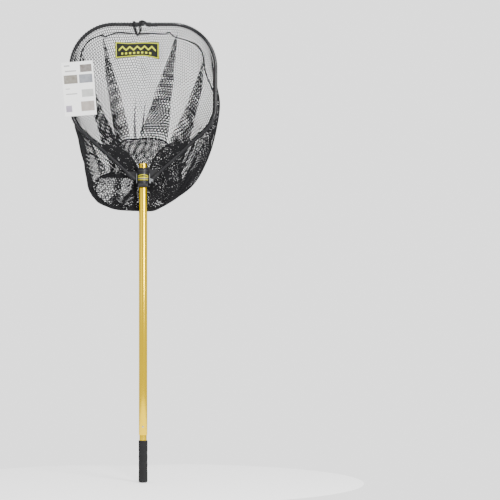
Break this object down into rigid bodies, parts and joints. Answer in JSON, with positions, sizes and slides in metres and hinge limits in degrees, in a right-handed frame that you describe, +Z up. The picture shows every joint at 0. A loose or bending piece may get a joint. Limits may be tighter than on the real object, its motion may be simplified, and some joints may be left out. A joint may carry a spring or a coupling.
{
  "type": "folding landing net",
  "caption": "Landing net with a deep netting bag in a two-piece hinged hoop, on a yoke that slides along a telescoped handle with a foam grip.",
  "frame": {"origin": "centre of the flat butt of the grip, on the handle's axis", "axes": "+Z up the handle to the top of the hoop, +X to the right seen from the front, -Y the way the net's mouth faces"},
  "size_m": [0.548, 0.1151, 1.5679],
  "materials": {
    "foam_grip": "closed-cell foam, matt black, finely pitted",
    "gold_tube": "gold anodised drawn tube, satin gloss",
    "black_plastic": "glass-filled nylon, satin black",
    "spring_steel": "plain steel, bright",
    "black_oxide": "blackened metal, satin",
    "bare_aluminium": "plain aluminium, dull",
    "printed_band": "printed film, black with yellow bands",
    "nylon": "black nylon",
    "black_tube": "black powder coat on aluminium tube, satin",
    "netting": "coated knotted twine netting, black",
    "black_cord": "braided cord, black",
    "printed_patch": "woven patch, black with yellow-green border",
    "coated_card": "coated white card with grey picture blocks"
  },
  "bodies": {
    "handle": {"handle_grip": "foam_grip", "inner_tube": "gold_tube", "handle_tube": "gold_tube", "butt_plug": "black_plastic", "inner_tube_plug": "black_plastic", "grip_lock_spring": "spring_steel", "head_stop_spring": "spring_steel"},
    "lock_button": {"grip_lock_button": "spring_steel"},
    "stop_button": {"head_stop_button": "black_oxide"},
    "yoke": {"yoke_liner": "bare_aluminium", "yoke_block": "black_plastic", "yoke_bead": "black_plastic", "yoke_barrel": "black_plastic", "yoke_band": "printed_band", "lower_washer": "nylon", "upper_washer": "nylon", "yoke_top_ring": "black_plastic"},
    "left_half": {"left_hoop_tube": "black_tube", "left_arm_collar": "black_plastic", "left_arm_rivet": "spring_steel", "left_arm_strip": "bare_aluminium", "left_bag": "netting", "left_border_rope": "black_cord", "left_patch": "printed_patch", "left_top_hinge": "black_oxide", "hang_card": "coated_card", "edge_tie": "black_cord"},
    "right_half": {"right_hoop_tube": "black_tube", "right_arm_collar": "black_plastic", "right_arm_rivet": "spring_steel", "right_arm_strip": "bare_aluminium", "right_bag": "netting", "right_border_rope": "black_cord", "right_patch": "printed_patch", "right_top_hinge": "black_oxide", "top_hinge_pin": "spring_steel"}
  },
  "joints": [
    {"name": "yoke_slide", "type": "slide", "parent": "handle", "child": "yoke", "axis": [0, 0, 1], "range_m": [-0.42, 0]},
    {"name": "left_fold", "type": "hinge", "parent": "yoke", "child": "left_half", "pos_m": [0, 0, 1.3], "axis": [0, 0, 1], "range_deg": [0, 88]},
    {"name": "right_fold", "type": "hinge", "parent": "left_half", "child": "right_half", "pos_m": [0, 0, 1.3], "axis": [0, 0, 1], "range_deg": [-176, 0]},
    {"name": "lock_button_press", "type": "slide", "parent": "handle", "child": "lock_button", "axis": [0, 1, 0], "range_m": [0, 0.003], "stiffness_N_per_m": 600, "springref_m": -0.002, "deforming": ["grip_lock_spring"]},
    {"name": "stop_button_press", "type": "slide", "parent": "handle", "child": "stop_button", "axis": [0, 1, 0], "range_m": [0, 0.003], "stiffness_N_per_m": 600, "springref_m": -0.002, "deforming": ["head_stop_spring"]}
  ],
  "couplings": [
    {"joint": "right_fold", "follows": "left_fold", "ratio": -2}
  ]
}
